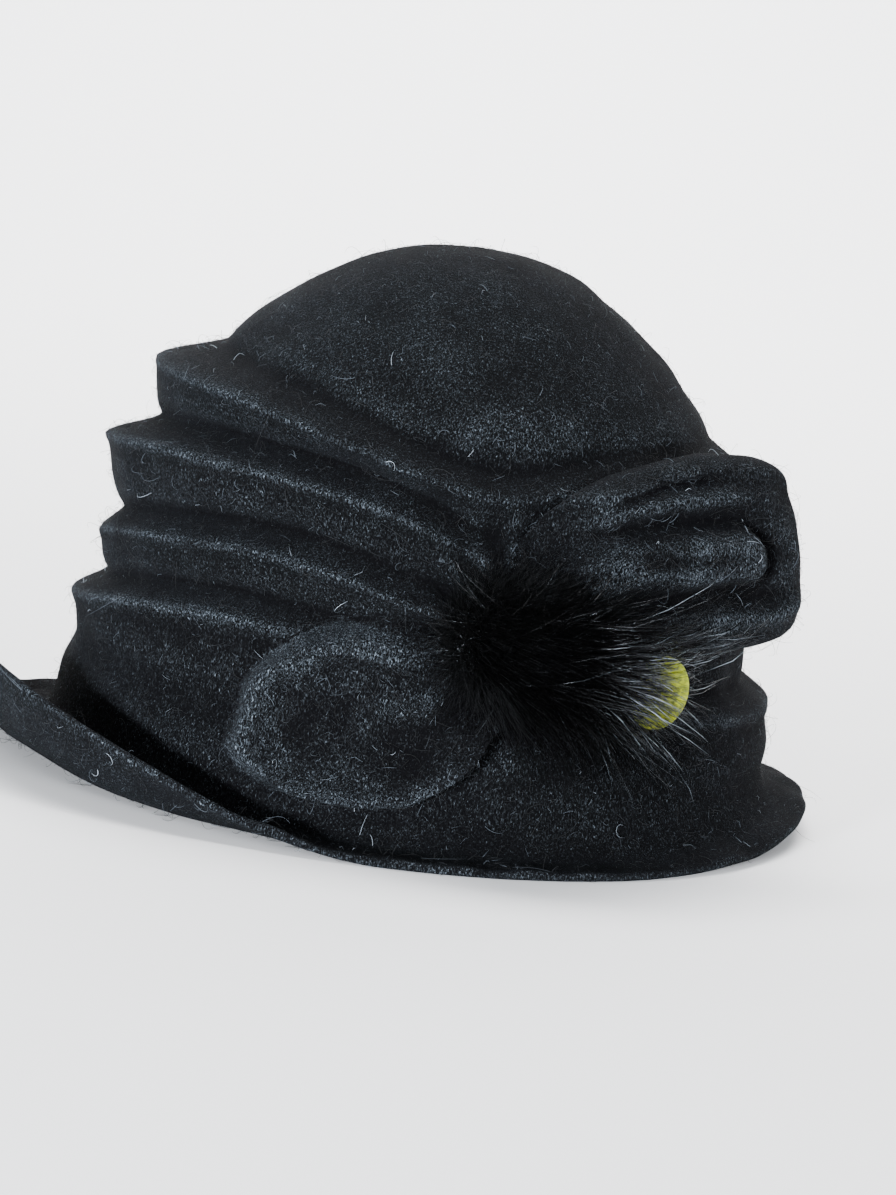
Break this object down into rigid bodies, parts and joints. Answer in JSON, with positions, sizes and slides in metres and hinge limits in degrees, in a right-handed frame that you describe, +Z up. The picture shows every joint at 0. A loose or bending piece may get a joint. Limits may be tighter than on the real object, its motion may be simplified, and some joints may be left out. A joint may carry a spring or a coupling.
{
  "type": "cloche hat",
  "caption": "Soft wool felt cloche hat, tucks round the crown, brim turned up at the front, side bow with fur tuft and small disc.",
  "frame": {"origin": "centre of the hat's bounding box in plan, on the surface that it rests on", "axes": "+Z up, -X to the turned-up front of the brim, -Y to the side with the bow"},
  "size_m": [0.2462, 0.2082, 0.1535],
  "materials": {
    "felt": "charcoal black boiled wool, matt and lightly fuzzy",
    "fur": "black glossy fur",
    "disc": "yellow-green, smooth, with a thin bright rim"
  },
  "bodies": {
    "root": {"felt_body": "felt", "bow_loop_upper": "felt", "bow_loop_lower": "felt", "fur_tuft": "fur", "disc": "disc"}
  },
  "joints": []
}
